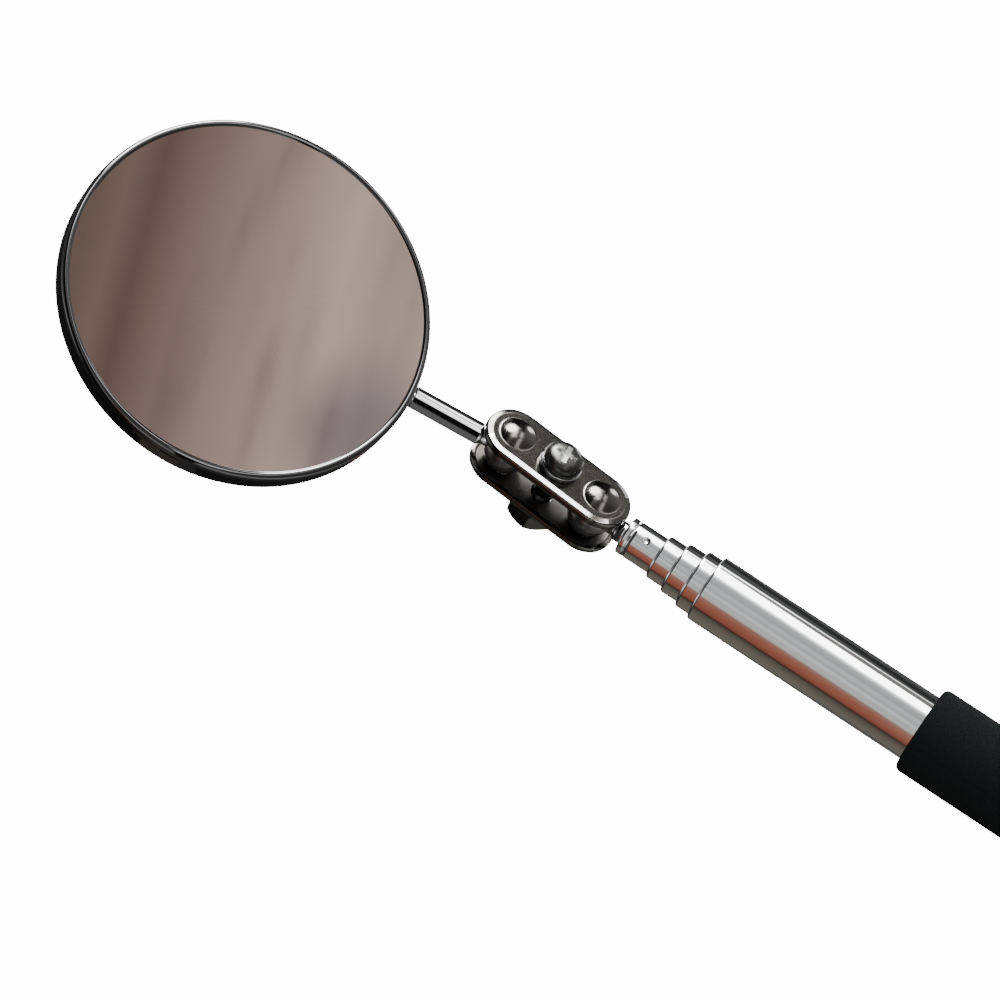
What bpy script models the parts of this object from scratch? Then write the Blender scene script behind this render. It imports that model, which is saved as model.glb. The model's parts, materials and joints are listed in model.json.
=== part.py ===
"""Telescoping inspection mirror: a round mirror on a twin ball clamp and a five-draw telescopic handle.

Metres, Z up. The origin is the centre of the end plug's flat butt face. +X runs along the handle's
axis towards the mirror. The tool lies on a plane below it, touching along the grip and at the
mirror's rim. Sizes are written in millimetres and scaled by MM.
"""
import math

import bmesh
import bpy
from mathutils import Matrix, Vector

MM = 0.001

# Handle, along X (mm)
PLUG_FLANGE = 3.8
PLUG_END = 12.0
GRIP_START = 4.0
GRIP_END = 114.0
GRIP_R = 6.55
MAIN_START = 4.1
MAIN_END = 149.1
WALL = 0.3
SLIDE_GAP = 0.08

# Nested tubes, outermost first: name, outer radius, tail, mouth (mm)
MAIN_R = 5.0
DRAWS = (
    ("tube_4", 4.45, 14.0, 151.5),
    ("tube_3", 3.90, 20.0, 154.3),
    ("tube_2", 3.35, 26.0, 157.1),
    ("tube_1", 2.80, 32.0, 162.6),
)
NECK_LENGTH = 5.5
MOUTH_LENGTH = 1.6
RING_LENGTH = 3.0

# Twin ball clamp (mm)
REAR_BALL_X = 168.3
BALL_PITCH = 14.6
BALL_R = 3.4
CUP_R = 3.46
STEM_R = 1.6
NECK_R = 1.2
PLATE_FACE = 3.75
PLATE_THICK = 0.8
PLATE_R = 4.6
PLATE_LIP = 2.5
PLATE_ROUND = 0.9
DOME_R = 4.6
DOME_INNER_R = 3.7
SHANK_R = 1.45
SHANK_HOLE_R = 1.7

# Mirror head (mm)
STEM_LENGTH = 42.2
STEM_DROP = 0.4
CASE_R = 26.5
CASE_HALF = 2.3
CASE_WALL = 0.45
GLASS_R = 25.75
GLASS_LOW = 1.0
GLASS_HIGH = 2.05
GLASS_SHOWN_R = 25.3

# Resting pose of the two ball joints (degrees)
REAR_SPIN = 25.0
REAR_ROCK = 6.3
REAR_SWING = 0.9
FRONT_SWING = 15.8
FRONT_ROCK = 5.4
HEAD_ROLL = -14.9

X = Vector((1.0, 0.0, 0.0))

COLOURS = {
    "chrome": ((0.78, 0.79, 0.81), 1.0, 0.12),
    "steel": ((0.52, 0.53, 0.55), 1.0, 0.3),
    "nickel": ((0.45, 0.45, 0.46), 1.0, 0.22),
    "bronze": ((0.62, 0.47, 0.28), 1.0, 0.35),
    "mirror": ((0.86, 0.87, 0.88), 1.0, 0.03),
    "card": ((0.46, 0.39, 0.30), 0.0, 0.85),
    "foam": ((0.02, 0.02, 0.022), 0.0, 0.7),
    "plastic": ((0.03, 0.03, 0.032), 0.0, 0.45),
}


def turn(vector, axis, degrees):
    """The vector turned about an axis through the origin."""
    return Matrix.Rotation(math.radians(degrees), 3, axis) @ vector


def frame_of(origin, along, up):
    """A placement whose local X is along and whose local Z is as near up as it can be."""
    x = along.normalized()
    z = (up - x * up.dot(x)).normalized()
    y = z.cross(x)
    placed = Matrix((x, y, z)).transposed().to_4x4()
    placed.translation = origin
    return placed


def clear_scene():
    for item in list(bpy.data.objects):
        bpy.data.objects.remove(item, do_unlink=True)
    for pool in (bpy.data.meshes, bpy.data.materials):
        for item in list(pool):
            pool.remove(item)


def finish_object(name, mesh_data, placed, finish):
    """Store a bmesh in millimetres as a named object with its own material."""
    bmesh.ops.remove_doubles(mesh_data, verts=mesh_data.verts, dist=1e-5)
    bmesh.ops.recalc_face_normals(mesh_data, faces=mesh_data.faces)
    bmesh.ops.scale(mesh_data, vec=(MM, MM, MM), verts=mesh_data.verts)
    mesh = bpy.data.meshes.new(name)
    mesh_data.to_mesh(mesh)
    mesh_data.free()
    for face in mesh.polygons:
        face.use_smooth = True
    mesh.set_sharp_from_angle(angle=math.radians(35.0))
    piece = bpy.data.objects.new(name, mesh)
    bpy.context.scene.collection.objects.link(piece)
    location = placed.copy()
    location.translation = placed.translation * MM
    piece.matrix_world = location
    if finish is None:
        piece.hide_render = True
        piece.display_type = "WIRE"
        return piece
    colour, metallic, roughness = COLOURS[finish]
    material = bpy.data.materials.new(name)
    material.use_nodes = True
    shader = material.node_tree.nodes["Principled BSDF"]
    shader.inputs["Base Color"].default_value = (*colour, 1.0)
    shader.inputs["Metallic"].default_value = metallic
    shader.inputs["Roughness"].default_value = roughness
    mesh.materials.append(material)
    return piece


def turned(name, profile, placed, finish, segments=32, arc=360.0, closed=True):
    """A piece turned about local X from (along, radius) points. A closed profile is a ring."""
    shape = bmesh.new()
    full = arc >= 360.0
    count = segments if full else segments + 1
    rings = []
    for along, radius in profile:
        if radius < 1e-9:
            rings.append([shape.verts.new((along, 0.0, 0.0))] * count)
            continue
        ring = []
        for index in range(count):
            angle = math.radians(arc) * index / segments
            ring.append(shape.verts.new((along, radius * math.cos(angle), radius * math.sin(angle))))
        rings.append(ring)
    pairs = list(zip(rings, rings[1:]))
    if closed:
        pairs.append((rings[-1], rings[0]))
    for first, second in pairs:
        for index in range(segments):
            after = (index + 1) % count
            corners = []
            for corner in (first[index], first[after], second[after], second[index]):
                if corner not in corners:
                    corners.append(corner)
            if len(corners) > 2:
                shape.faces.new(corners)
    if not full:
        shape.faces.new([ring[0] for ring in rings])
        shape.faces.new([ring[-1] for ring in rings])
    return finish_object(name, shape, placed, finish)


def bend(centre, radius, start, end, steps=5):
    """Points on an arc of a profile, with angles in degrees from the along direction."""
    points = []
    for index in range(steps + 1):
        angle = math.radians(start + (end - start) * index / steps)
        points.append((centre[0] + radius * math.cos(angle), centre[1] + radius * math.sin(angle)))
    return points


def cut(piece, cutter):
    modifier = piece.modifiers.new(cutter.name, "BOOLEAN")
    modifier.operation = "DIFFERENCE"
    modifier.solver = "EXACT"
    modifier.object = cutter


def box_cutter(name, low, high, placed):
    shape = bmesh.new()
    bmesh.ops.create_cube(shape, size=1.0)
    for vert in shape.verts:
        for axis in range(3):
            vert.co[axis] = high[axis] if vert.co[axis] > 0.0 else low[axis]
    return finish_object(name, shape, placed, None)


def handle_pieces():
    """Grip, main tube and end plug: everything the hand holds."""
    base = Matrix.Identity(4)
    plug = [(0.0, 0.0), (0.0, 5.4)]
    plug += bend((1.0, 5.4), 1.0, 180.0, 90.0)
    plug += [(PLUG_FLANGE, 6.4), (PLUG_FLANGE, 4.6), (PLUG_END - 0.6, 4.6), (PLUG_END, 4.1), (PLUG_END, 0.0)]
    turned("end_plug", plug, base, "plastic", 48, closed=False)

    bore = MAIN_R + 0.05
    sleeve = [(GRIP_START, bore), (GRIP_START, GRIP_R - 0.6)]
    sleeve += bend((GRIP_START + 0.6, GRIP_R - 0.6), 0.6, 180.0, 90.0, 3)
    sleeve += [(x, GRIP_R) for x in (30.0, 59.0, 88.0)]
    sleeve += bend((GRIP_END - 0.9, GRIP_R - 0.9), 0.9, 90.0, 0.0)
    sleeve += [(GRIP_END, bore)]
    turned("grip_sleeve", sleeve, base, "foam", 48)

    lip = DRAWS[0][1] + SLIDE_GAP
    inner = MAIN_R - WALL
    tube = [(MAIN_START, inner), (MAIN_START, MAIN_R)]
    tube += bend((MAIN_END - 0.35, MAIN_R - 0.35), 0.35, 90.0, 0.0, 4)
    tube += [(MAIN_END, lip), (MAIN_END - MOUTH_LENGTH + 0.2, lip), (MAIN_END - MOUTH_LENGTH, inner)]
    turned("main_tube", tube, base, "chrome", 48)


def draw_tubes():
    """The four sliding tubes, each necked at its tail for a friction ring."""
    base = Matrix.Identity(4)
    outer_bore = MAIN_R - WALL
    for index, (name, radius, tail, mouth) in enumerate(DRAWS):
        inner = radius - WALL
        neck = radius - 0.2
        neck_inner = DRAWS[index + 1][1] + SLIDE_GAP if index < 3 else neck - WALL
        neck_end = tail + NECK_LENGTH
        profile = [(tail, neck_inner), (tail, radius - 0.05), (tail + 1.0, radius - 0.05), (tail + 1.1, neck)]
        profile += [(neck_end - 0.9, neck), (neck_end - 0.5, radius)]
        if index < 3:
            lip = DRAWS[index + 1][1] + SLIDE_GAP
            profile += bend((mouth - 0.3, radius - 0.3), 0.3, 90.0, 0.0, 4)
            profile += [(mouth, lip), (mouth - MOUTH_LENGTH + 0.2, lip), (mouth - MOUTH_LENGTH, inner)]
        else:
            profile += [(mouth - 1.25, radius), (mouth - 1.1, radius - 0.12), (mouth - 0.95, radius)]
            profile += bend((mouth - 0.25, radius - 0.25), 0.25, 90.0, 0.0, 4)
            profile += [(mouth, inner)]
        profile += [(neck_end, inner), (neck_end - 0.5, neck_inner)]
        turned(name, profile, base, "chrome", 32)

        start = tail + 1.3
        ring_inner = neck + 0.06
        ring_outer = outer_bore - 0.06
        ring = [(start, ring_inner), (start, ring_outer - 0.1), (start + 0.2, ring_outer)]
        ring += [(start + RING_LENGTH - 0.2, ring_outer), (start + RING_LENGTH, ring_outer - 0.1)]
        ring += [(start + RING_LENGTH, ring_inner)]
        turned(name + "_spring", ring, base, "bronze", 32, arc=337.5)
        outer_bore = inner


def dimple_tube():
    """The stake mark that holds the swivel bush in the thinnest tube."""
    placed = Matrix.Translation(Vector((159.3, 0.0, 0.0))) @ Matrix.Rotation(math.radians(41.0), 4, "X")
    shape = bmesh.new()
    bmesh.ops.create_uvsphere(shape, u_segments=16, v_segments=10, radius=0.55)
    bmesh.ops.translate(shape, vec=(0.0, 0.0, 3.2), verts=shape.verts)
    cutter = finish_object("cut_stake", shape, placed, None)
    cut(bpy.data.objects["tube_1"], cutter)


def sphere_profile(radius, steps=16):
    points = []
    for index in range(steps + 1):
        angle = math.pi * index / steps
        points.append((-radius * math.cos(angle), radius * math.sin(angle) if 0 < index < steps else 0.0))
    return points


def cup_profile():
    """The hollow end of a stem, concentric with its ball."""
    return [(math.sqrt(CUP_R ** 2 - r ** 2), r) for r in (0.0, 0.4, 0.8, NECK_R)]


def rear_joint(origin):
    """Stem bush, rear stem and rear ball. The stem's local X points back along the handle."""
    base = Matrix.Identity(4)
    mouth = DRAWS[3][3]
    bush = [(156.7, 1.4), (156.7, 2.25), (156.9, 2.44), (mouth - 0.2, 2.44), (mouth - 0.05, 2.3)]
    bush += [(mouth - 0.05, 1.4)]
    turned("stem_bush", bush, base, "steel", 32)
    placed = frame_of(origin, -X, Vector((0.0, 0.0, 1.0)))
    shoulder = REAR_BALL_X - mouth - 0.05
    stem = cup_profile() + [(4.0, NECK_R), (4.6, STEM_R), (shoulder, STEM_R), (shoulder, 1.3)]
    stem += [(11.75, 1.3), (11.75, 2.3), (13.3, 2.3), (13.5, 2.1), (13.5, 0.0)]
    turned("rear_stem", stem, placed, "chrome", 32, closed=False)
    turned("rear_ball", sphere_profile(BALL_R), placed, "steel", 32, closed=False)


def plate_height(x, y, depth):
    """Outer and inner heights of a clamp plate at a point, depth being its distance from the spine."""
    outer = PLATE_FACE
    start = PLATE_R - PLATE_ROUND
    if depth > start:
        outer -= PLATE_ROUND - math.sqrt(max(PLATE_ROUND ** 2 - (depth - start) ** 2, 0.0))
    inner = PLATE_FACE - PLATE_THICK
    for centre in (0.0, BALL_PITCH):
        away = math.hypot(x - centre, y)
        if away < DOME_R:
            outer = max(outer, math.sqrt(DOME_R ** 2 - away ** 2))
        if away < DOME_INNER_R:
            inner = max(inner, math.sqrt(DOME_INNER_R ** 2 - away ** 2))
    return outer, inner


def stadium(depth, straight=30, round_steps=16):
    """Points at one distance round the plate's spine."""
    points = []
    for index in range(straight):
        points.append((BALL_PITCH * index / straight, -depth))
    for index in range(round_steps):
        angle = -math.pi / 2 + math.pi * index / round_steps
        points.append((BALL_PITCH + depth * math.cos(angle), depth * math.sin(angle)))
    for index in range(straight):
        points.append((BALL_PITCH * (1.0 - index / straight), depth))
    for index in range(round_steps):
        angle = math.pi / 2 + math.pi * index / round_steps
        points.append((depth * math.cos(angle), depth * math.sin(angle)))
    return points


def clamp_plate(name, placed, side):
    """One stamped plate with two domes and a turned edge; side is +1 for the screw-head plate."""
    shape = bmesh.new()
    outer = []
    for depth in (0.0, 0.5, 1.0, 1.5, 2.0, 2.4, 2.8, 3.3, 3.7, 4.15, 4.4, 4.54, 4.6):
        outer.append([(x, y, plate_height(x, y, depth)[0]) for x, y in stadium(depth)])
    inner = []
    for depth in (3.75, 3.3, 2.8, 2.4, 2.0, 1.5, 1.0, 0.5, 0.0):
        inner.append([(x, y, plate_height(x, y, depth)[1]) for x, y in stadium(depth)])
    lip = [[(x, y, PLATE_LIP) for x, y in stadium(depth)] for depth in (PLATE_R, 3.8)]
    rings = []
    for loop in outer + lip + inner:
        rings.append([shape.verts.new((x, y, z * side)) for x, y, z in loop])
    for first, second in zip(rings, rings[1:]):
        count = len(first)
        for index in range(count):
            after = (index + 1) % count
            shape.faces.new((first[index], first[after], second[after], second[index]))
    bmesh.ops.remove_doubles(shape, verts=shape.verts, dist=1e-4)
    plate = finish_object(name, shape, placed, "nickel")
    middle = placed @ Matrix.Translation(Vector((BALL_PITCH / 2, 0.0, 0.0))) @ Matrix.Rotation(math.pi / 2, 4, "Y")
    hole = turned("cut_" + name, [(-6, 0), (-6, SHANK_HOLE_R), (6, SHANK_HOLE_R), (6, 0)], middle, None, 32,
                  closed=False)
    cut(plate, hole)
    return plate


def clamp_fastener(placed):
    """Screw, lock washer, flat washer and nut on the clamp's middle. Local X points to the screw's head."""
    middle = placed @ Matrix.Translation(Vector((BALL_PITCH / 2, 0.0, 0.0)))
    normal = placed.to_3x3() @ Vector((0.0, 0.0, 1.0))
    along = placed.to_3x3() @ X
    axis = frame_of(middle.translation, normal, along)
    face = PLATE_FACE + 0.05
    washer_top = face + 0.75
    washer = [(face, 1.65), (face, 3.1), (washer_top, 3.1), (washer_top, 1.65)]
    turned("lock_washer", washer, axis @ Matrix.Rotation(math.radians(100.0), 4, "X"), "steel", 32, arc=347.0)

    seat = washer_top + 0.04
    screw = [(-8.2, 0.0), (-8.2, SHANK_R - 0.3), (-7.9, SHANK_R), (seat, SHANK_R), (seat, 2.75), (seat + 0.15, 2.9)]
    screw += [(seat + 0.9, 2.9), (seat + 1.35, 2.7), (seat + 1.7, 2.2), (seat + 1.9, 1.5), (seat + 1.95, 0.0)]
    head = turned("clamp_screw", screw, axis, "chrome", 32, closed=False)
    for number, wide in (("a", (0.36, 1.55)), ("b", (1.55, 0.36))):
        slot = box_cutter("cut_recess_" + number, (seat + 0.75, -wide[0], -wide[1]),
                          (seat + 3.0, wide[0], wide[1]), axis)
        cut(head, slot)

    flat = [(-face - 0.8, 1.65), (-face - 0.8, 3.4), (-face - 0.7, 3.5), (-face - 0.1, 3.5), (-face, 3.4)]
    turned("flat_washer", flat + [(-face, 1.65)], axis, "steel", 32)

    corner = 3.2 / math.cos(math.pi / 6)
    top = -face - 0.82
    nut = [(top - 3.0, 0.0), (top - 3.0, corner - 0.4), (top - 2.7, corner)]
    nut += [(top - 0.3, corner), (top, corner - 0.4), (top, 0.0)]
    body = turned("clamp_nut", nut, axis @ Matrix.Rotation(math.radians(12.0), 4, "X"), "steel", 6, closed=False)
    hole = turned("cut_nut", [(-9, 0), (-9, 1.6), (-2, 1.6), (-2, 0)], axis, None, 24, closed=False)
    cut(body, hole)


def mirror_head(ball, stem_dir, face_dir):
    """Stem, ball, case, glass, pad and anchor. The case's local Z is the mirror's face normal."""
    on_stem = frame_of(ball, stem_dir, face_dir)
    rim = STEM_LENGTH - CASE_R
    stem = cup_profile() + [(4.0, NECK_R), (4.7, STEM_R), (rim - 0.3, STEM_R), (rim - 0.3, 0.75)]
    stem += [(rim + 5.9, 0.75), (rim + 6.1, 0.55), (rim + 6.1, 0.0)]
    turned("front_stem", stem, on_stem, "chrome", 32, closed=False)
    turned("front_ball", sphere_profile(BALL_R), frame_of(ball, stem_dir, face_dir), "steel", 32, closed=False)

    centre = ball + stem_dir * STEM_LENGTH + face_dir * STEM_DROP
    disc = frame_of(centre, face_dir, -stem_dir)
    low = -CASE_HALF
    shell = [(low, 0.0), (low, CASE_R - 1.3)]
    shell += bend((low + 1.3, CASE_R - 1.3), 1.3, 180.0, 90.0, 6)
    shell += bend((CASE_HALF - 0.7, CASE_R - 0.7), 0.7, 90.0, 0.0, 5)
    shell += bend((CASE_HALF - 0.12, GLASS_SHOWN_R + 0.12), 0.12, 360.0, 180.0, 4)[1:]
    shell += [(GLASS_HIGH + 0.06, GLASS_SHOWN_R + 0.3), (GLASS_HIGH + 0.04, CASE_R - CASE_WALL)]
    shell += bend((low + 1.3, CASE_R - 1.3), 1.3 - CASE_WALL, 90.0, 180.0, 5)
    shell += [(low + CASE_WALL, 0.0)]
    case = turned("mirror_case", shell, disc, "chrome", 96, closed=False)
    bore = turned("cut_stem", [(rim - 2, 0), (rim - 2, 0.85), (rim + 3, 0.85), (rim + 3, 0)], on_stem, None, 24,
                  closed=False)
    cut(case, bore)

    glass = [(GLASS_LOW, 0.0), (GLASS_LOW, GLASS_R), (GLASS_HIGH, GLASS_R), (GLASS_HIGH, 0.0)]
    turned("mirror_glass", glass, disc, "mirror", 96, closed=False)
    floor = low + CASE_WALL + 0.06
    pad = [(floor, 0.0), (floor, 17.0), (GLASS_LOW - 0.06, 17.0), (GLASS_LOW - 0.06, 0.0)]
    turned("backing_pad", pad, disc, "card", 64, closed=False)

    block = bmesh.new()
    bmesh.ops.create_cube(block, size=1.0)
    top = GLASS_LOW - 0.08 + STEM_DROP
    bottom = floor + STEM_DROP
    for vert in block.verts:
        vert.co.x = rim + 7.2 if vert.co.x > 0.0 else rim + 1.2
        vert.co.y = 3.0 if vert.co.y > 0.0 else -3.0
        vert.co.z = top if vert.co.z > 0.0 else bottom
    anchor = finish_object("stem_anchor", block, on_stem, "steel")
    socket = turned("cut_anchor", [(rim, 0), (rim, 0.82), (rim + 6.3, 0.82), (rim + 6.3, 0)], on_stem, None, 24,
                    closed=False)
    cut(anchor, socket)


def build():
    clear_scene()
    handle_pieces()
    draw_tubes()
    dimple_tube()
    rear = Vector((REAR_BALL_X, 0.0, 0.0))
    rear_joint(rear)

    spin = Vector((0.0, -math.cos(math.radians(REAR_SPIN)), math.sin(math.radians(REAR_SPIN))))
    rock_axis = X.cross(spin)
    normal = turn(spin, rock_axis, REAR_ROCK)
    along = turn(turn(X, rock_axis, REAR_ROCK), normal, REAR_SWING)
    clamp = frame_of(rear, along, normal)
    clamp_plate("clamp_plate_front", clamp, 1.0)
    clamp_plate("clamp_plate_back", clamp, -1.0)
    clamp_fastener(clamp)

    front = rear + along * BALL_PITCH
    swung = turn(along, normal, FRONT_SWING)
    stem_dir = turn(swung, swung.cross(normal), FRONT_ROCK)
    facing = (normal - stem_dir * normal.dot(stem_dir)).normalized()
    mirror_head(front, stem_dir, turn(facing, stem_dir, HEAD_ROLL))


build()
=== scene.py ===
"""Telescoping inspection mirror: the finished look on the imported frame."""
import json
import math

import bmesh
import bpy
from mathutils import Euler, Matrix, Vector


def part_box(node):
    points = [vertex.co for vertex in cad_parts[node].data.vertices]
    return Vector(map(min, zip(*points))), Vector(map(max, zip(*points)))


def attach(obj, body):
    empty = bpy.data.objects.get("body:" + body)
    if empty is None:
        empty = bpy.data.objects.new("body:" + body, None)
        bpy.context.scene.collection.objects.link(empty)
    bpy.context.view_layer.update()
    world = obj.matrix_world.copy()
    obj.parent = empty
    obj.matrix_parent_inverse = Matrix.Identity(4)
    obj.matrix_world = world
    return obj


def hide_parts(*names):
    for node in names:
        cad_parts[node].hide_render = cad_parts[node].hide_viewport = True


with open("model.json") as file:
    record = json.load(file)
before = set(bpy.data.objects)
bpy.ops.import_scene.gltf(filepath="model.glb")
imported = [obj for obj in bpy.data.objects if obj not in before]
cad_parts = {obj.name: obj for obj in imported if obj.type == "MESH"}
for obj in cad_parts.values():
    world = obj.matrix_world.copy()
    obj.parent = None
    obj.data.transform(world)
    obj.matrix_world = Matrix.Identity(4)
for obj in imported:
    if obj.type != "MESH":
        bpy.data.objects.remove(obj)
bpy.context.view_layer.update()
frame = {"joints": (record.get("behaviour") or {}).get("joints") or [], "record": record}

MM = 0.001
X = Vector((1.0, 0.0, 0.0))
JOINTS = {joint["name"]: joint for joint in frame["joints"]}
MOUNTS = {mount["name"]: mount for mount in frame["record"]["mounts"]}

REAR = Vector(JOINTS["rear_swing"]["pos_m"]) / MM
FRONT = Vector(JOINTS["front_swing"]["pos_m"]) / MM
CLAMP_NORMAL = Vector(JOINTS["front_swing"]["axis"]).normalized()
CLAMP_ALONG = (FRONT - REAR).normalized()
BALL_PITCH = (FRONT - REAR).length
STEM_DIR = Vector(JOINTS["mirror_spin"]["axis"]).normalized()
FACE_DIR = -Vector(MOUNTS["mirror_back"]["axis"]).normalized()
BACK_POINT = Vector(MOUNTS["mirror_back"]["pos_m"]) / MM

# Sizes shared with the frame (mm)
CASE_R = 26.5
CASE_HALF = 2.3
CASE_WALL = 0.45
GLASS_HIGH = 2.05
STEM_LENGTH = 42.2
STEM_R = 1.6
NECK_R = 1.2
BALL_R = 3.4
CUP_R = 3.46
PLATE_FACE = 3.75
PLATE_THICK = 0.8
PLATE_R = 4.6
PLATE_LIP = 2.5
PLATE_ROUND = 0.9
BEVEL = 0.62
BEVEL_DROP = 0.16
DOME_R = 4.6
DOME_INNER_R = 3.7
DOME_FILLET = 0.04
PLATE_HOLE_R = 1.7

GRIP_R = 6.55
GRIP_BORE_R = 5.05
PLUG_R = 6.4
PLUG_SHANK_R = 4.6
MAIN_R = 5.0
MAIN_BORE_R = 4.7
MAIN_LIP_R = 4.53
DRAW_RADII = (4.45, 3.90, 3.35, 2.80)
TUBE_WALL = 0.3
TUBE_NECK = 0.2
LIP_GAP = 0.08
STAKE_AT = 159.3
STAKE_TURN = 131.0
STAKE_R = 0.55
STAKE_DEPTH = 0.2

WASHER_HOLE_R = 1.65
LOCK_WASHER_R = 3.1
LOCK_WASHER_THICK = 0.75
FLAT_WASHER_R = 3.5
FLAT_WASHER_THICK = 0.8
SEAT_GAP = 0.05
SCREW_END = -8.2
THREAD_R = 1.45
THREAD_ROOT_R = 1.27
THREAD_PITCH = 0.5
HEAD_R = 2.9
NUT_HALF_FLATS = 3.2
NUT_THICK = 3.0
NUT_BORE_R = 1.6

GLASS_LOW = 1.0
GLASS_R = 25.75
PAD_R = 17.0
TENON_R = 0.75

# Metres, apart from the glow: the mirror can fold down this far below the grip
FLOOR_DROP = 0.13
FLOOR_HALF = 3.0
FLOOR_GLOW = 14.0


def frame_of(origin, along, up):
    """A placement whose local X is along and whose local Z is as near up as it can be."""
    x = along.normalized()
    z = (up - x * up.dot(x)).normalized()
    placed = Matrix((x, z.cross(x), z)).transposed().to_4x4()
    placed.translation = origin
    return placed


HANDLE = Matrix.Identity(4)
CLAMP = frame_of(REAR, CLAMP_ALONG, CLAMP_NORMAL)
STEM = frame_of(FRONT, STEM_DIR, FACE_DIR)
CENTRE = BACK_POINT + FACE_DIR * CASE_HALF
DISC = frame_of(CENTRE, FACE_DIR, -STEM_DIR)
MIDDLE = (REAR + FRONT) / 2
FASTENER = frame_of(MIDDLE, CLAMP_NORMAL, CLAMP_ALONG)


# The room's fixed directions: from the object towards the photographer, the picture's right and up,
# and across and along the handle as the picture shows it
VIEW = Vector((-0.1547, -0.3789, 0.9124))
RIGHT = Vector((-0.8246, -0.4591, -0.3305))
ACROSS = Vector((-0.0019, -0.9234, -0.3838))
ALONG = Vector((-0.988, 0.0612, -0.1422))
UP = VIEW.cross(RIGHT)


# Materials

def node(tree, kind, **values):
    made = tree.nodes.new(kind)
    for name, value in values.items():
        if name in made.inputs:
            made.inputs[name].default_value = value
        else:
            setattr(made, name, value)
    return made


def surface(name, colour, metallic, roughness, spread, scale, bump=0.0, stretch=(1, 1, 1), tint=0.0):
    """A Principled surface whose roughness, colour and fine relief vary a little with noise.

    Spread is how far the roughness goes either way, tint how far the colour does, and scale how fine
    the noise is, per metre."""
    material = bpy.data.materials.new(name)
    material.use_nodes = True
    tree = material.node_tree
    shader = tree.nodes["Principled BSDF"]
    shader.inputs["Base Color"].default_value = (*colour, 1.0)
    shader.inputs["Metallic"].default_value = metallic
    place = node(tree, "ShaderNodeTexCoord")
    mapping = node(tree, "ShaderNodeMapping")
    mapping.inputs["Scale"].default_value = stretch
    noise = node(tree, "ShaderNodeTexNoise", Scale=scale, Detail=6.0, Roughness=0.6)
    spread_map = node(tree, "ShaderNodeMapRange")
    spread_map.inputs["To Min"].default_value = max(roughness - spread, 0.0)
    spread_map.inputs["To Max"].default_value = roughness + spread
    tree.links.new(place.outputs["Object"], mapping.inputs["Vector"])
    tree.links.new(mapping.outputs["Vector"], noise.inputs["Vector"])
    tree.links.new(noise.outputs["Fac"], spread_map.inputs["Value"])
    tree.links.new(spread_map.outputs["Result"], shader.inputs["Roughness"])
    if tint > 0.0:
        broad = node(tree, "ShaderNodeTexNoise", Scale=scale * 0.12, Detail=3.0)
        ramp = node(tree, "ShaderNodeValToRGB")
        ramp.color_ramp.elements[0].color = (*[c * (1.0 - tint) for c in colour], 1.0)
        ramp.color_ramp.elements[1].color = (*[min(c * (1.0 + tint), 1.0) for c in colour], 1.0)
        tree.links.new(mapping.outputs["Vector"], broad.inputs["Vector"])
        tree.links.new(broad.outputs["Fac"], ramp.inputs["Fac"])
        tree.links.new(ramp.outputs["Color"], shader.inputs["Base Color"])
    if bump > 0.0:
        relief = node(tree, "ShaderNodeBump", Strength=bump, Distance=0.0001)
        tree.links.new(noise.outputs["Fac"], relief.inputs["Height"])
        tree.links.new(relief.outputs["Normal"], shader.inputs["Normal"])
    return material


CHROME = surface("chrome", (0.83, 0.84, 0.86), metallic=1.0, roughness=0.06, spread=0.02, scale=1200.0,
                 bump=0.01, stretch=(0.2, 1, 1))
# Chrome for the mirror's case with its base colour darkened to 0.13, so that its reflections read near
# black: painted shade
RIM_PAINTED_DARK = surface("rim_chrome_painted_dark", (0.13, 0.13, 0.135), metallic=1.0, roughness=0.06, spread=0.02, scale=1500.0)
NICKEL = surface("nickel", (0.125, 0.12, 0.11), metallic=1.0, roughness=0.16, spread=0.05, scale=2200.0,
                 bump=0.14, tint=0.4)
INSIDE = surface("nickel_inside", (0.17, 0.16, 0.145), metallic=1.0, roughness=0.42, spread=0.06,
                 scale=2200.0, bump=0.2, tint=0.4)
# Near-white metal for the clamp plates' straight bevels, far brighter than the plate's nickel, so a white
# line shows along their edges: a painted highlight
BEVEL_HIGHLIGHT = surface("bevel_painted_highlight", (0.85, 0.85, 0.85), metallic=1.0, roughness=0.14, spread=0.04, scale=1400.0,
               bump=0.02)
STEEL = surface("steel", (0.56, 0.57, 0.59), metallic=1.0, roughness=0.26, spread=0.06, scale=1600.0,
                bump=0.04)
SCREW = surface("screw_plate", (0.085, 0.085, 0.08), metallic=1.0, roughness=0.28, spread=0.1, scale=2600.0,
                bump=0.35, tint=0.6)
# Near-white metal for the faces of the screw's cross recess, while the head round it is dark: a painted
# highlight in the recess
RECESS_HIGHLIGHT = surface("recess_painted_highlight", (0.92, 0.92, 0.9), metallic=1.0, roughness=0.3, spread=0.1, scale=2600.0,
                 bump=0.2, tint=0.1)
# The steel balls get a dark base so they read as the dark gap between the plates: painted shade
BALL_PAINTED_DARK = surface("ball", (0.16, 0.155, 0.15), metallic=0.9, roughness=0.25, spread=0.06, scale=1600.0,
               bump=0.04)
BRONZE = surface("bronze", (0.62, 0.47, 0.28), metallic=1.0, roughness=0.35, spread=0.05, scale=1000.0)
GLASS = surface("mirror_glass", (0.86, 0.86, 0.87), metallic=1.0, roughness=0.03, spread=0.012, scale=260.0,
                bump=0.0, stretch=(0.15, 1.0, 0.4))
CARD = surface("card", (0.42, 0.36, 0.29), metallic=0.0, roughness=0.85, spread=0.05, scale=900.0, bump=0.2,
               tint=0.1)
FOAM = surface("foam", (0.004, 0.0055, 0.006), metallic=0.0, roughness=0.8, spread=0.08, scale=2600.0,
               bump=0.5, tint=0.25)
FOAM.node_tree.nodes["Principled BSDF"].inputs["Specular IOR Level"].default_value = 0.15
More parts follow.
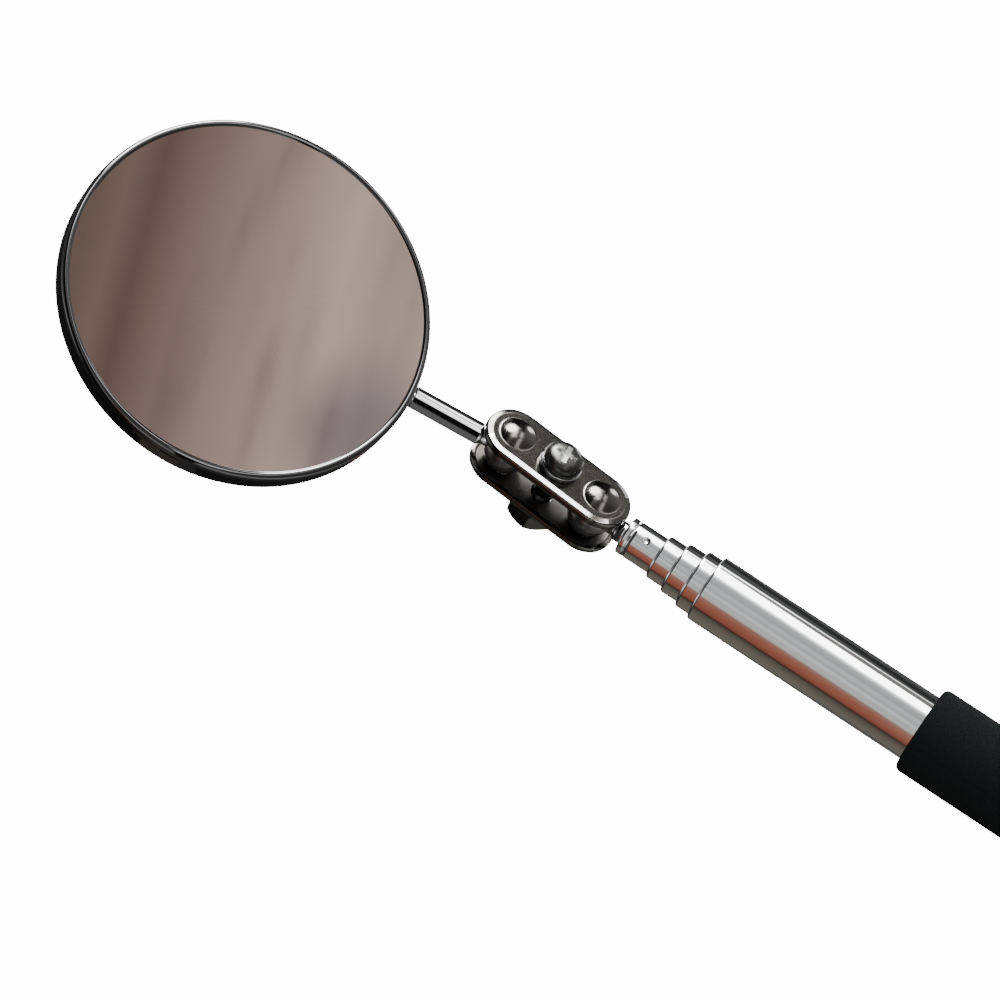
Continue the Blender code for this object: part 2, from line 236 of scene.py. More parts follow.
PLASTIC = surface("black_plastic", (0.02, 0.02, 0.022), metallic=0.0, roughness=0.42, spread=0.05,
                  scale=1800.0, bump=0.06)


# Shapes

def store(name, shape, placed, material, body, nodes, sharp=32.0):
    """Turn a bmesh in millimetres into a piece that rides on a body and stands for CAD nodes."""
    bmesh.ops.remove_doubles(shape, verts=shape.verts, dist=1e-5)
    bmesh.ops.recalc_face_normals(shape, faces=shape.faces)
    bmesh.ops.transform(shape, matrix=Matrix.Scale(MM, 4) @ placed, verts=shape.verts)
    mesh = bpy.data.meshes.new(name)
    shape.to_mesh(mesh)
    shape.free()
    for face in mesh.polygons:
        face.use_smooth = True
    mesh.set_sharp_from_angle(angle=math.radians(sharp))
    piece = bpy.data.objects.new(name, mesh)
    bpy.context.scene.collection.objects.link(piece)
    if material is not None:
        mesh.materials.append(material)
    if body is not None:
        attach(piece, body)
        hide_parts(*nodes)
    return piece


def steady(profile, closed):
    """The profile with extra points near the ends of its long runs, so that they shade flat."""
    following = profile[1:] + ([profile[0]] if closed else [])
    points = []
    for here, there in zip(profile, following):
        points.append(here)
        run = math.hypot(there[0] - here[0], there[1] - here[1])
        if run > 1.0:
            for part in (0.15 / run, 1.0 - 0.15 / run):
                points.append((here[0] + (there[0] - here[0]) * part,
                               here[1] + (there[1] - here[1]) * part))
    if not closed:
        points.append(profile[-1])
    return points


def lathe(profile, segments, arc=360.0, closed=False, dent=None):
    """A bmesh turned about local X from (along, radius) points. A closed profile is a ring."""
    shape = bmesh.new()
    profile = steady(profile, closed)
    full = arc >= 360.0
    count = segments if full else segments + 1
    rings = []
    for along, radius in profile:
        if radius < 1e-9:
            rings.append([shape.verts.new((along, 0.0, 0.0))] * count)
            continue
        ring = []
        for index in range(count):
            angle = math.radians(arc) * index / segments
            reach = radius - (dent(along, radius, angle) if dent else 0.0)
            ring.append(shape.verts.new((along, reach * math.cos(angle), reach * math.sin(angle))))
        rings.append(ring)
    pairs = list(zip(rings, rings[1:]))
    if closed:
        pairs.append((rings[-1], rings[0]))
    for first, second in pairs:
        for index in range(segments):
            after = (index + 1) % count
            corners = []
            for corner in (first[index], first[after], second[after], second[index]):
                if corner not in corners:
                    corners.append(corner)
            if len(corners) > 2:
                shape.faces.new(corners)
    if not full:
        shape.faces.new([ring[0] for ring in rings])
        shape.faces.new([ring[-1] for ring in rings])
    return shape


def bend(centre, radius, start, end, steps=8):
    """Points on an arc of a profile, with angles in degrees from the along direction."""
    points = []
    for index in range(steps + 1):
        angle = math.radians(start + (end - start) * index / steps)
        points.append((centre[0] + radius * math.cos(angle), centre[1] + radius * math.sin(angle)))
    return points


def corner(point, radius, quarter, steps=4):
    """A rounded outer corner of a profile; quarter 0 turns the front edge, 1 the back edge."""
    along, out = point
    if quarter == 0:
        return bend((along - radius, out - radius), radius, 90.0, 0.0, steps)
    return bend((along + radius, out - radius), radius, 180.0, 90.0, steps)


def subtract(piece, cutter_shape, placed, inside=None):
    """Cut a shape out of a piece for good; inside is the material of the cut faces."""
    tool = store("cutter", cutter_shape, placed, inside, None, ())
    modifier = piece.modifiers.new("cut", "BOOLEAN")
    modifier.operation = "DIFFERENCE"
    modifier.solver = "EXACT"
    modifier.object = tool
    if inside is not None:
        modifier.material_mode = "TRANSFER"
    bpy.context.view_layer.update()
    result = bpy.data.meshes.new_from_object(piece.evaluated_get(bpy.context.evaluated_depsgraph_get()))
    piece.modifiers.clear()
    piece.data = result
    for face in result.polygons:
        face.use_smooth = True
    result.set_sharp_from_angle(angle=math.radians(30.0))
    bpy.data.objects.remove(tool, do_unlink=True)


def span(name):
    """A node's extent along the handle, in millimetres."""
    low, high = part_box(name)
    return low.x / MM, high.x / MM


# Handle

def make_handle():
    start, end = span("end_plug")
    flange = span("grip_sleeve")[0] - 0.2
    plug = [(start, 0.0)] + corner((start, PLUG_R), 1.0, 1) + [(flange, PLUG_R)]
    plug += [(flange, PLUG_SHANK_R), (end - 0.6, PLUG_SHANK_R), (end, PLUG_SHANK_R - 0.5), (end, 0.0)]
    store("end_plug_look", lathe(plug, 96), HANDLE, PLASTIC, "handle", ["end_plug"])

    start, end = span("grip_sleeve")
    back_round = 0.6
    front_round = 1.0
    straight = end - start - back_round - front_round
    steps = 40
    sleeve = [(start, GRIP_BORE_R)] + corner((start, GRIP_R), back_round, 1)
    sleeve += [(start + back_round + straight * i / steps, GRIP_R) for i in range(1, steps)]
    sleeve += corner((end, GRIP_R), front_round, 0, 6) + [(end, GRIP_BORE_R)]
    store("grip_look", lathe(sleeve, 96, closed=True), HANDLE, FOAM, "handle", ["grip_sleeve"])

    start, end = span("main_tube")
    tube = [(start, MAIN_BORE_R), (start, MAIN_R)] + corner((end, MAIN_R), 0.35, 0, 6)
    tube += [(end, MAIN_LIP_R), (end - 1.4, MAIN_LIP_R), (end - 1.6, MAIN_BORE_R)]
    store("main_tube_look", lathe(tube, 128, closed=True), HANDLE, CHROME, "handle", ["main_tube"])


def stake_mark(along, radius, angle):
    """Depth of the small punched mark near the front of the thinnest tube."""
    if radius < DRAW_RADII[-1] - 0.1:
        return 0.0
    turned = (angle - math.radians(STAKE_TURN) + math.pi) % (2 * math.pi) - math.pi
    away = math.hypot(along - STAKE_AT, turned * radius)
    if away >= STAKE_R:
        return 0.0
    return STAKE_DEPTH * (1.0 - (away / STAKE_R) ** 2) ** 2


def make_draws():
    """The sliding tubes, widest first, each with the split friction ring on its tail."""
    outer_bore = MAIN_BORE_R
    for index, radius in enumerate(DRAW_RADII):
        name = "tube_%d" % (len(DRAW_RADII) - index)
        tail, mouth = span(name)
        inner = radius - TUBE_WALL
        neck = radius - TUBE_NECK
        last = radius == DRAW_RADII[-1]
        lip = None if last else DRAW_RADII[index + 1] + LIP_GAP
        neck_inner = neck - TUBE_WALL if last else lip
        profile = [(tail, neck_inner)] + corner((tail, radius - 0.05), 0.1, 1, 2)
        profile += [(tail + 1.0, radius - 0.05), (tail + 1.1, neck)]
        profile += [(tail + 4.6, neck), (tail + 5.0, radius)]
        if last:
            profile += [(STAKE_AT - 0.7 + 0.1 * part, radius) for part in range(15)]
            groove = ((1.5, 0.0), (1.42, 0.02), (1.3, 0.08), (1.15, 0.08), (1.03, 0.02), (0.95, 0.0))
            profile += [(mouth - back, radius - deep) for back, deep in groove]
            profile += corner((mouth, radius), 0.25, 0, 6) + [(mouth, inner)]
        else:
            profile += corner((mouth, radius), 0.42, 0, 8)
            profile += [(mouth, lip), (mouth - 1.4, lip), (mouth - 1.6, inner)]
        profile += [(tail + 5.5, inner), (tail + 5.0, neck_inner)]
        shape = lathe(profile, 128, closed=True, dent=stake_mark if last else None)
        store(name + "_look", shape, HANDLE, CHROME, name, [name])

        start, end = span(name + "_spring")
        ring_in = neck + 0.06
        ring_out = outer_bore - 0.06
        ring = [(start, ring_in), (start, ring_out - 0.1), (start + 0.2, ring_out), (end - 0.2, ring_out)]
        ring += [(end, ring_out - 0.1), (end, ring_in)]
        shape = lathe(ring, 60, arc=337.5, closed=True)
        store(name + "_spring_look", shape, HANDLE, BRONZE, name, [name + "_spring"])
        outer_bore = inner


# Clamp

def ball(name, body):
    profile = []
    for index in range(33):
        angle = math.pi * index / 32
        radius = BALL_R * math.sin(angle) if 0 < index < 32 else 0.0
        profile.append((-BALL_R * math.cos(angle), radius))
    # The balls wear the darkened ball metal: painted shade between the plates
    return store(name + "_look", lathe(profile, 64), STEM if body == "front_ball" else
                 frame_of(REAR, -X, Vector((0, 0, 1))), BALL_PAINTED_DARK, body, [name])


def cup():
    return [(math.sqrt(CUP_R ** 2 - r ** 2), r) for r in (0.0, 0.3, 0.6, 0.9, 1.1, NECK_R)]


def make_stems():
    start, end = span("stem_bush")
    bush = [(start, 1.4), (start, 2.25), (start + 0.2, 2.44), (end - 0.15, 2.44), (end, 2.3), (end, 1.4)]
    store("stem_bush_look", lathe(bush, 64, closed=True), HANDLE, STEEL, "tube_1", ["stem_bush"])
    shoulder = REAR.x - end - 0.05
    stem = cup() + [(3.95, NECK_R), (4.15, 1.28), (4.4, 1.5), (4.6, STEM_R), (shoulder - 0.1, STEM_R)]
    stem += [(shoulder, 1.5), (shoulder, 1.3), (11.75, 1.3), (11.75, 2.3)]
    stem += [(13.3, 2.3), (13.5, 2.1), (13.5, 0.0)]
    back = frame_of(REAR, -X, Vector((0.0, 0.0, 1.0)))
    store("rear_stem_look", lathe(stem, 64), back, CHROME, "rear_stem", ["rear_stem"])
    ball("rear_ball", "rear_ball")
    ball("front_ball", "front_ball")
    rim = STEM_LENGTH - CASE_R - 0.3
    stem = cup() + [(3.95, NECK_R), (4.2, 1.28), (4.5, 1.5), (4.7, STEM_R), (rim - 0.1, STEM_R)]
    stem += [(rim, 1.5), (rim, TENON_R), (rim + 6.2, TENON_R), (rim + 6.4, TENON_R - 0.2), (rim + 6.4, 0.0)]
    store("front_stem_look", lathe(stem, 64), STEM, CHROME, "front_stem", ["front_stem"])


def soft_max(a, b, blend):
    """The larger of two heights, with a small fillet where they cross."""
    gap = max(blend - abs(a - b), 0.0) / blend
    return max(a, b) + gap * gap * blend * 0.25


def plate_height(x, y, depth):
    """The outer and inner surface's height over the clamp's middle plane. Depth is from the centre line."""
    outer = PLATE_FACE
    start = PLATE_R - PLATE_ROUND
    if depth > start + BEVEL:
        side = (depth - start - BEVEL) / (PLATE_ROUND - BEVEL)
        outer -= BEVEL_DROP + (PLATE_ROUND - BEVEL_DROP) * (1.0 - math.sqrt(max(1.0 - side ** 2, 0.0)))
    elif depth > start:
        outer -= BEVEL_DROP * (depth - start) / BEVEL
    inner = PLATE_FACE - PLATE_THICK
    for centre in (0.0, BALL_PITCH):
        away = math.hypot(x - centre, y)
        if away < DOME_R:
            outer = soft_max(outer, math.sqrt(DOME_R ** 2 - away ** 2), DOME_FILLET)
        if away < DOME_INNER_R:
            inner = max(inner, math.sqrt(DOME_INNER_R ** 2 - away ** 2))
    return outer, inner


def stadium(depth, straight=96, round_steps=40):
    """Points round a slot shape that reaches depth from the line between the balls."""
    points = []
    for index in range(straight):
        points.append((BALL_PITCH * index / straight, -depth))
    for index in range(round_steps):
        angle = -math.pi / 2 + math.pi * index / round_steps
        points.append((BALL_PITCH + depth * math.cos(angle), depth * math.sin(angle)))
    for index in range(straight):
        points.append((BALL_PITCH * (1.0 - index / straight), depth))
    for index in range(round_steps):
        angle = math.pi / 2 + math.pi * index / round_steps
        points.append((depth * math.cos(angle), depth * math.sin(angle)))
    return points


def make_plate(name, side):
    """A stamped plate; side is 1 for the one under the screw's head and -1 for the other."""
    shape = bmesh.new()
    start = PLATE_R - PLATE_ROUND
    depths = [start * index / 24 for index in range(25)]
    depths += [start + BEVEL * part for part in (0.04, 0.5, 0.97, 1.0)]
    turns = [math.radians(angle) for angle in (12, 25, 40, 55, 70, 80, 90)]
    depths += [start + BEVEL + (PLATE_ROUND - BEVEL) * math.sin(turn) for turn in turns]
    outer = [[(x, y, plate_height(x, y, depth)[0]) for x, y in stadium(depth)] for depth in depths]
    inner = []
    for index in range(17):
        depth = 3.76 - 0.235 * index
        inner.append([(x, y, plate_height(x, y, depth)[1]) for x, y in stadium(depth)])
    lips = [(4.6, PLATE_LIP + 0.15), (4.55, PLATE_LIP + 0.04), (4.45, PLATE_LIP), (3.9, PLATE_LIP)]
    lips.append((3.8, PLATE_LIP + 0.1))
    edge = [[(x, y, height) for x, y in stadium(depth)] for depth, height in lips]
    rings = [[shape.verts.new((x, y, z * side)) for x, y, z in loop] for loop in outer + edge + inner]
    for first, second in zip(rings, rings[1:]):
        count = len(first)
        for index in range(count):
            after = (index + 1) % count
            shape.faces.new((first[index], first[after], second[after], second[index]))
    bmesh.ops.remove_doubles(shape, verts=shape.verts, dist=1e-4)
    plate = store(name + "_look", shape, CLAMP, NICKEL, "clamp", [name])
    looks = plate.data.materials
    looks.append(BEVEL_HIGHLIGHT)
    looks.append(INSIDE)
    local = (Matrix.Scale(MM, 4) @ CLAMP).inverted()
    for face in plate.data.polygons:
        spot_at = local @ face.center
        beyond = max(spot_at.x - BALL_PITCH, -spot_at.x, 0.0)
        depth = math.hypot(beyond, spot_at.y)
        on_bevel = start + 0.01 < depth < start + BEVEL + 0.05 and spot_at.z > PLATE_FACE - 0.4
        # Faces on the straight bevels take the near-white bevel metal: a painted highlight along the
        # plate's edges
        if on_bevel and abs(spot_at.y) > 0.7 * depth:
            face.material_index = looks.find(BEVEL_HIGHLIGHT.name)
        elif face.normal.dot(CLAMP_NORMAL) * side < -0.5 and depth < start:
            face.material_index = looks.find(INSIDE.name)
    subtract(plate, lathe([(-6, 0), (-6, PLATE_HOLE_R), (6, PLATE_HOLE_R), (6, 0)], 64), FASTENER)


def washer_profile(low, high, radius, chamfer):
    """A flat washer's section between two heights."""
    rim = [(low, radius - 0.1), (low + chamfer, radius), (high - chamfer, radius), (high, radius - 0.1)]
    return [(low, WASHER_HOLE_R)] + rim + [(high, WASHER_HOLE_R)]


def make_fastener():
    """The split washer, the cross-slotted screw, the flat washer and the nut that hold the plates."""
    face = PLATE_FACE + SEAT_GAP
    top = face + LOCK_WASHER_THICK
    washer = washer_profile(face, top, LOCK_WASHER_R, 0.08)
    spun = FASTENER @ Matrix.Rotation(math.radians(100.0), 4, "X")
    split = lathe(washer, 96, arc=347.0, closed=True)
    store("lock_washer_look", split, spun, STEEL, "clamp", ["lock_washer"])

    seat = top + 0.04
    screw = [(SCREW_END, 0.0), (SCREW_END, 1.1), (SCREW_END + 0.3, THREAD_R)]
    for index in range(11):
        crest = SCREW_END + 0.5 + THREAD_PITCH * index
        screw += [(crest, THREAD_R), (crest + 0.22, THREAD_ROOT_R), (crest + 0.28, THREAD_ROOT_R)]
    screw += [(-2.1, THREAD_R), (seat, THREAD_R)]
    dome = ((0.0, 0.2), (0.06, 0.06), (0.2, 0.0), (0.75, 0.0), (0.95, 0.04), (1.2, 0.16), (1.45, 0.38),
            (1.66, 0.7), (1.8, 1.1), (1.89, 1.6), (1.94, 2.2), (1.95, HEAD_R))
    screw += [(seat + high, HEAD_R - inward) for high, inward in dome]
    head = store("clamp_screw_look", lathe(screw, 96), FASTENER, SCREW, "clamp_screw", ["clamp_screw"])
    for turn in (0.0, 90.0):
        shape = bmesh.new()
        bmesh.ops.create_cube(shape, size=1.0)
        for vert in shape.verts:
            high = vert.co.x > 0.0
            vert.co.x = seat + 2.6 if high else seat + 0.75
            vert.co.y = math.copysign(0.42 if high else 0.30, vert.co.y)
            vert.co.z = math.copysign(2.05 if high else 0.85, vert.co.z)
        # The cut faces of the cross recess take the near-white metal: a painted highlight
        subtract(head, shape, FASTENER @ Matrix.Rotation(math.radians(turn + 8.0), 4, "X"), RECESS_HIGHLIGHT)

    flat = washer_profile(-face - FLAT_WASHER_THICK, -face, FLAT_WASHER_R, 0.1)
    store("flat_washer_look", lathe(flat, 96, closed=True), FASTENER, STEEL, "clamp", ["flat_washer"])

    across = NUT_HALF_FLATS / math.cos(math.pi / 6)
    top = -face - FLAT_WASHER_THICK - 0.02
    bottom = top - NUT_THICK
    nut = [(bottom, 0.0), (bottom, across - 0.02), (top, across - 0.02), (top, 0.0)]
    spun = FASTENER @ Matrix.Rotation(math.radians(12.0), 4, "X")
    body = store("clamp_nut_look", lathe(nut, 6), spun, NICKEL, "clamp", ["clamp_nut"])
    for sign, level in ((1.0, top), (-1.0, bottom)):
        ring = [(level - sign * 0.48, across + 0.12), (level + sign * 0.3, 2.8), (level + sign * 1.2, 2.8)]
        ring += [(level + sign * 1.2, across + 1.0), (level - sign * 0.48, across + 1.0)]
        subtract(body, lathe(ring, 64, closed=True), FASTENER)
    subtract(body, lathe([(-9, 0), (-9, NUT_BORE_R), (-2, NUT_BORE_R), (-2, 0)], 48), FASTENER)


# Mirror head

def make_mirror():
    rim = STEM_LENGTH - CASE_R
    low = -CASE_HALF
    shell = [(low, 0.0), (low, 12.0), (low, CASE_R - 1.6), (low, CASE_R - 1.3)]
    shell += bend((low + 1.3, CASE_R - 1.3), 1.3, 180.0, 90.0, 10)
    shell += [(0.9, CASE_R), (1.1, CASE_R - 0.07), (1.22, CASE_R - 0.07), (1.42, CASE_R)]
    shell += bend((CASE_HALF - 0.6, CASE_R - 0.6), 0.6, 90.0, -53.0, 18)
    shell += [(GLASS_HIGH + 0.01, CASE_R - 1.0), (GLASS_HIGH + 0.04, CASE_R - CASE_WALL)]
    shell += bend((low + 1.3, CASE_R - 1.3), 1.3 - CASE_WALL, 90.0, 180.0, 6)
    shell += [(low + CASE_WALL, 0.0)]
    # The case shell wears the darkened chrome: painted shade on the rim and back
    case = store("mirror_case_look", lathe(shell, 256), DISC, RIM_PAINTED_DARK, "mirror_head", ["mirror_case"])
    subtract(case, lathe([(rim - 2, 0), (rim - 2, 0.85), (rim + 3, 0.85), (rim + 3, 0)], 32), STEM)

    ground = GLASS_R - 0.15
    glass = [(GLASS_LOW, 0.0), (GLASS_LOW, ground), (GLASS_LOW + 0.1, GLASS_R)]
    glass += [(GLASS_HIGH - 0.1, GLASS_R), (GLASS_HIGH, ground), (GLASS_HIGH, 0.0)]
    store("mirror_glass_look", lathe(glass, 256), DISC, GLASS, "mirror_head", ["mirror_glass"])
    floor = low + CASE_WALL + 0.06
    pad_top = GLASS_LOW - 0.06
    pad = [(floor, 0.0), (floor, PAD_R), (pad_top, PAD_R), (pad_top, 0.0)]
    store("backing_pad_look", lathe(pad, 96), DISC, CARD, "mirror_head", ["backing_pad"])

    block = bmesh.new()
    bmesh.ops.create_cube(block, size=1.0)
    for vert in block.verts:
        vert.co.x = rim + 7.2 if vert.co.x > 0.0 else rim + 1.2
        vert.co.y = 3.0 if vert.co.y > 0.0 else -3.0
        vert.co.z = 1.32 if vert.co.z > 0.0 else floor + 0.4
    bmesh.ops.bevel(block, geom=list(block.edges), offset=0.12, segments=2, affect="EDGES")
    anchor = store("stem_anchor_look", block, STEM, STEEL, "mirror_head", ["stem_anchor"])
    subtract(anchor, lathe([(rim, 0), (rim, 0.82), (rim + 6.3, 0.82), (rim + 6.3, 0)], 32), STEM)


# Studio

def patch(across, along):
    """The unit direction with these parts across and along the handle."""
    depth = math.sqrt(1.0 - across ** 2 - along ** 2)
    return ACROSS * across + ALONG * along + VIEW * depth


LIT_POINT = Vector((0.19, 0.0, 0.0))

# The photograph's viewpoint: millimetres, degrees and a 36 mm sensor
CAMERA_AT = Vector((102.82, -183.90, 457.44))
CAMERA_TURN = (-14.819, 19.299, -150.891)
CAMERA_LENS = 128.29

# What stands in the room, as (place from -1 to 1, grey level or colour): beside the handle, beside the
# stem, elsewhere and beyond the clamp, all over the direction ACROSS, and on the glass from left to right
HANDLE_SIDE = (
    (-1.0, (0.03, 0.028, 0.024)), (-0.955, (0.16, 0.15, 0.125)), (-0.80, (0.15, 0.13, 0.105)),
    (-0.68, (0.10, 0.085, 0.07)), (-0.63, (0.055, 0.03, 0.022)), (-0.58, (0.28, 0.08, 0.055)),
    (-0.42, (0.35, 0.12, 0.075)), (-0.30, (0.36, 0.18, 0.14)), (-0.24, (0.62, 0.6, 0.55)),
    (-0.14, 0.56), (-0.06, 0.80), (0.0, 0.50), (0.12, 0.68), (0.2, 0.46), (0.33, 0.62), (0.40, 2.0),
    (0.44, 9.0), (0.70, 9.0), (0.745, 0.10), (0.9, 0.085), (1.0, 0.11))
STEM_SIDE = (
    (-1.0, 0.08), (-0.7, 0.12), (-0.42, 0.10), (-0.36, 0.004), (0.06, 0.004), (0.13, 2.2), (0.4, 2.8),
    (0.64, 4.0), (0.70, 0.04), (1.0, 0.03))
FAR_SIDE = (
    (-1.0, 0.25), (-0.85, 0.06), (-0.6, 0.12), (-0.45, 0.7), (-0.3, 1.1), (-0.18, 0.35), (0.0, 0.16),
    (0.2, 0.22), (0.34, 0.3), (0.46, 1.4), (0.6, 1.6), (0.68, 0.2), (0.85, 0.1), (1.0, 0.3))
CLAMP_SIDE = (
    (-1.0, 0.2), (-0.3, 0.24), (0.1, (0.26, 0.25, 0.23)), (0.4, (0.24, 0.23, 0.21)), (0.62, 0.5),
    (1.0, 0.7))
GLASS_SIDE = (
    (-1.0, (0.155, 0.105, 0.078)), (-0.86, (0.215, 0.152, 0.125)), (-0.72, (0.14, 0.086, 0.076)),
    (-0.56, (0.23, 0.158, 0.136)), (-0.3, (0.33, 0.232, 0.208)), (0.0, (0.45, 0.325, 0.28)),
    (0.3, (0.64, 0.485, 0.41)), (0.52, (0.48, 0.365, 0.32)), (0.74, (0.64, 0.485, 0.415)),
    (1.0, (0.76, 0.59, 0.48)))

# The room's round patches, as (middle, full and outer reach, colour): the lights on the mirror's rim,
# the clamp's domes and the clamp's bevel, and the dark card that the clamp's face shows
PATCHES = (
    (patch(0.87, 0.24), 0.09, 0.12, 9.0),
    (patch(0.614, -0.269), 0.15, 0.17, 30.0),
    (patch(0.472, -0.028), 0.02, 0.03, 9.0),
    (patch(0.671, -0.007), 0.07, 0.085, (0.25, 0.238, 0.22)))
GLASS_PATCH = patch(0.475, 0.086)
GLASS_REACH = 0.03
GLASS_LEAN = math.radians(5.0)

# The handle's strip of the room, as how far a direction may lean along the handle
STRIP_BACK = (-0.078, -0.071)
STRIP_FRONT = (0.015, 0.025)


def rgba(colour):
    """A grey level or a colour as four numbers."""
    return (*colour, 1.0) if isinstance(colour, tuple) else (colour, colour, colour, 1.0)


def band(tree, value, stops):
    """A colour ramp over -1 to 1."""
    unit = node(tree, "ShaderNodeMapRange")
    unit.inputs["From Min"].default_value = -1.0
    ramp = node(tree, "ShaderNodeValToRGB")
    elements = ramp.color_ramp.elements
    while len(elements) < len(stops):
        elements.new(0.5)
    for element, (place, colour) in zip(elements, stops):
        element.position = (place + 1.0) / 2.0
        element.color = rgba(colour)
    tree.links.new(value, unit.inputs["Value"])
    tree.links.new(unit.outputs["Result"], ramp.inputs["Fac"])
    return ramp.outputs["Color"]


def step(tree, value, low, high):
    """0 below low, 1 above high and smooth between."""
    made = node(tree, "ShaderNodeMapRange", interpolation_type="SMOOTHSTEP")
    made.inputs["From Min"].default_value = low
    made.inputs["From Max"].default_value = high
    tree.links.new(value, made.inputs["Value"])
    return made.outputs["Result"]


def mix(tree, factor, first, second):
    """First where the factor is 0 and second where it is 1; each is a socket, a colour or a grey level."""
    made = node(tree, "ShaderNodeMix", data_type="RGBA")
    tree.links.new(factor, made.inputs["Factor"])
    for socket, source in ((made.inputs[6], first), (made.inputs[7], second)):
        if isinstance(source, (tuple, float)):
            socket.default_value = rgba(source)
        else:
            tree.links.new(source, socket)
    return made.outputs[2]


def toward(tree, half, direction):
    """How far a direction points along a fixed one."""
    made = node(tree, "ShaderNodeVectorMath", operation="DOT_PRODUCT")
    tree.links.new(half, made.inputs[0])
    made.inputs[1].default_value = direction
    return made.outputs["Value"]


def spot(tree, half, centre, inner, outer):
    """1 within a round patch of the room, 0 outside it."""
    made = node(tree, "ShaderNodeVectorMath", operation="DISTANCE")
    tree.links.new(half, made.inputs[0])
    made.inputs[1].default_value = centre
    return step(tree, made.outputs["Value"], outer, inner)


def slice_of(tree, half, direction, inner, outer):
    """1 where a direction is square to the given one, 0 where it leans out of that slice."""
    made = node(tree, "ShaderNodeMath", operation="ABSOLUTE")
    tree.links.new(toward(tree, half, direction), made.inputs[0])
    return step(tree, made.outputs["Value"], outer, inner)


def glass_side(tree, half):
    """What the glass shows: soft mauve and brown streaks that lean a little, with a grey haze low down."""
    aside = RIGHT * math.cos(GLASS_LEAN) - UP * math.sin(GLASS_LEAN)
    down = RIGHT * math.sin(GLASS_LEAN) + UP * math.cos(GLASS_LEAN)
    sweep = node(tree, "ShaderNodeMapRange")
    sweep.inputs["From Min"].default_value = GLASS_PATCH.dot(aside) - GLASS_REACH
    sweep.inputs["From Max"].default_value = GLASS_PATCH.dot(aside) + GLASS_REACH
    sweep.inputs["To Min"].default_value = -1.0
    tree.links.new(toward(tree, half, aside), sweep.inputs["Value"])
    mauve = band(tree, sweep.outputs["Result"], GLASS_SIDE)
    haze = (GLASS_PATCH + RIGHT * 0.015 - UP * 0.017).normalized()
    mauve = mix(tree, spot(tree, half, haze, 0.002, 0.017), mauve, (0.29, 0.232, 0.228))

    # Fine streaks: noise drawn out along the lean
    grid = node(tree, "ShaderNodeCombineXYZ")
    tree.links.new(toward(tree, half, aside * 260.0), grid.inputs["X"])
    tree.links.new(toward(tree, half, down * 34.0), grid.inputs["Y"])
    streaks = node(tree, "ShaderNodeTexNoise", Scale=1.0, Detail=3.0, Roughness=0.5)
    tree.links.new(grid.outputs["Vector"], streaks.inputs["Vector"])
    return mix(tree, step(tree, streaks.outputs["Fac"], 0.42, 0.95), mauve, (0.18, 0.12, 0.115))


def make_world():
    """The room that the metal reflects: white and grey cards, dark gaps, a warm streak and a mauve patch.

    It depends on a ray's direction only. Its pattern is laid out over the direction halfway between the
    ray and VIEW, which is fixed, so that the cards show where the photograph has its streaks."""
    world = bpy.data.worlds.new("studio")
    world.use_nodes = True
    bpy.context.scene.world = world
    tree = world.node_tree
    sky = tree.nodes["Background"]
    place = node(tree, "ShaderNodeTexCoord")
    added = node(tree, "ShaderNodeVectorMath", operation="ADD")
    added.inputs[1].default_value = VIEW
    tree.links.new(place.outputs["Generated"], added.inputs[0])
    unit = node(tree, "ShaderNodeVectorMath", operation="NORMALIZE")
    tree.links.new(added.outputs["Vector"], unit.inputs[0])
    half = unit.outputs["Vector"]
    across = toward(tree, half, ACROSS)

    # Dark gaps square to the clamp's and the mirror's axes, which their side walls show
    far_side = band(tree, across, FAR_SIDE)
    clamp_side = band(tree, across, CLAMP_SIDE)
    far_side = mix(tree, spot(tree, half, CLAMP_NORMAL, 0.6, 0.8), far_side, clamp_side)
    far_side = mix(tree, slice_of(tree, half, CLAMP_NORMAL, 0.1, 0.2), far_side, (0.3, 0.3, 0.26))
    far_side = mix(tree, slice_of(tree, half, FACE_DIR, 0.13, 0.2), far_side, 0.035)

    # The gap beside the handle's strip, which the rounded tube mouths show as dark rings
    tip = toward(tree, half, X)
    gap = mix(tree, step(tree, tip, 0.28, 0.4), 0.03, far_side)
    far_side = mix(tree, step(tree, tip, 0.0, 0.03), far_side, gap)

    # The handle's strip: reach is the same all round a cylinder along X at one place in the picture
    handle_side = band(tree, across, HANDLE_SIDE)
    product = node(tree, "ShaderNodeMath", operation="MULTIPLY")
    tree.links.new(tip, product.inputs[0])
    tree.links.new(toward(tree, half, VIEW), product.inputs[1])
    reach = product.outputs["Value"]
    room = mix(tree, step(tree, reach, *STRIP_BACK), far_side, handle_side)
    room = mix(tree, step(tree, reach, *STRIP_FRONT), room, far_side)

    for middle, full, outer, colour in PATCHES:
        room = mix(tree, spot(tree, half, middle, full, outer), room, colour)
    stem_side = band(tree, across, STEM_SIDE)
    room = mix(tree, slice_of(tree, half, STEM_DIR, 0.04, 0.055), room, stem_side)
    room = mix(tree, spot(tree, half, GLASS_PATCH, 0.055, 0.065), room, glass_side(tree, half))
    tree.links.new(room, sky.inputs["Color"])


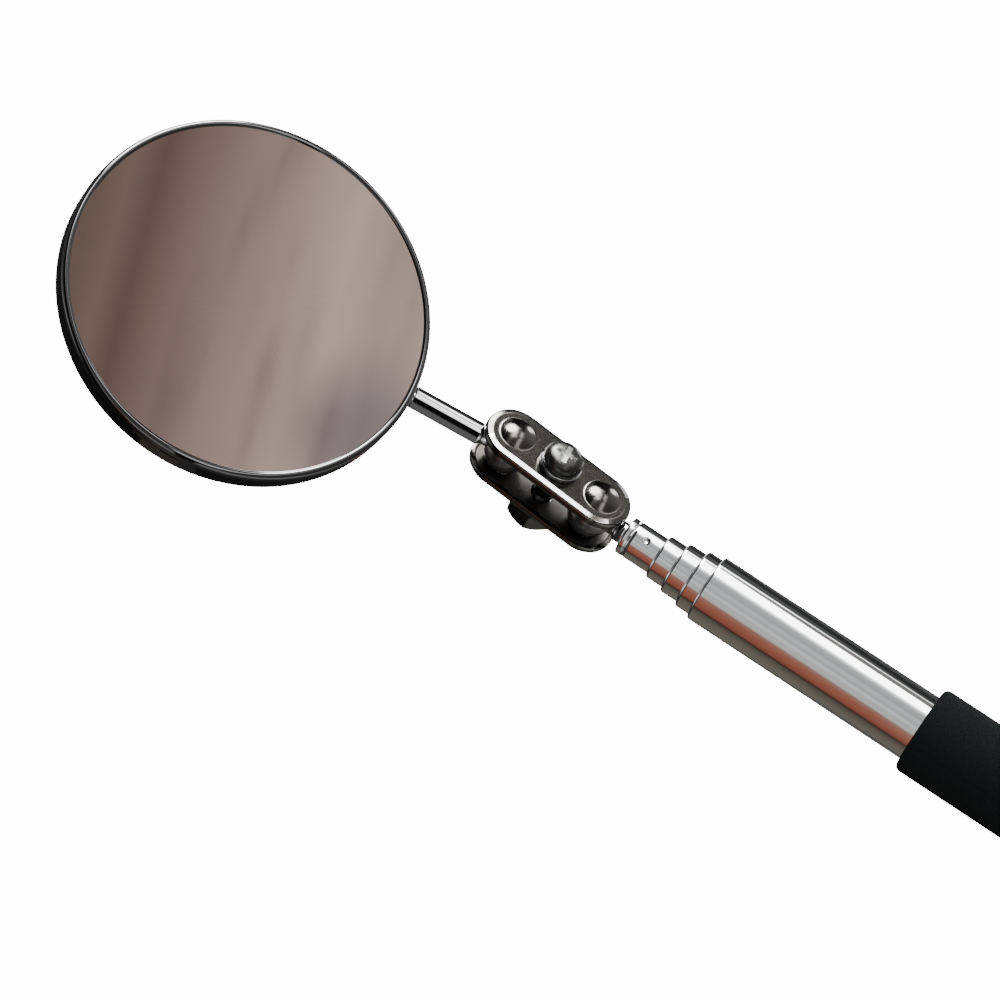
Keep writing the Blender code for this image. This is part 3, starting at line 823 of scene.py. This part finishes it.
def make_stage():
    """A pale, evenly lit floor that neither the metal nor the soft light sees."""
    mesh = bpy.data.meshes.new("floor")
    shape = bmesh.new()
    bmesh.ops.create_grid(shape, x_segments=1, y_segments=1, size=FLOOR_HALF)
    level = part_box("grip_sleeve")[0].z - FLOOR_DROP
    bmesh.ops.translate(shape, vec=(0.12, 0.0, level), verts=shape.verts)
    shape.to_mesh(mesh)
    shape.free()
    floor = bpy.data.objects.new("floor", mesh)
    bpy.context.scene.collection.objects.link(floor)
    paint = surface("pale_floor", (0.9, 0.9, 0.9), metallic=0.0, roughness=0.8, spread=0.0, scale=100.0)
    shader = paint.node_tree.nodes["Principled BSDF"]
    shader.inputs["Emission Color"].default_value = (1.0, 1.0, 1.0, 1.0)
    shader.inputs["Emission Strength"].default_value = FLOOR_GLOW
    mesh.materials.append(paint)
    floor.visible_glossy = False
    floor.visible_diffuse = False


def make_light(name, direction, distance, size, power):
    """A square soft light that shines on the middle of the tool."""
    data = bpy.data.lights.new(name, "AREA")
    data.energy = power
    data.size = size
    light = bpy.data.objects.new(name, data)
    bpy.context.scene.collection.objects.link(light)
    aim = Vector(direction).normalized()
    light.location = LIT_POINT + aim * distance
    light.rotation_euler = aim.to_track_quat("Z", "Y").to_euler()
    light.visible_glossy = False
    return light


def make_camera():
    """The camera at the photograph's viewpoint."""
    data = bpy.data.cameras.new("camera")
    data.lens = CAMERA_LENS
    data.sensor_width = 36.0
    data.clip_start = 0.01
    camera = bpy.data.objects.new("camera", data)
    bpy.context.scene.collection.objects.link(camera)
    camera.location = CAMERA_AT * MM
    camera.rotation_euler = Euler([math.radians(angle) for angle in CAMERA_TURN], "XYZ")
    bpy.context.scene.camera = camera


make_handle()
make_draws()
make_stems()
make_plate("clamp_plate_front", 1.0)
make_plate("clamp_plate_back", -1.0)
make_fastener()
make_mirror()
make_world()
make_stage()
make_light("key", (0.217, -0.777, 0.59), 0.9, 0.7, 6.0)
make_light("fill", (-0.3, 0.5, 0.8), 1.0, 0.8, 3.0)
make_camera()
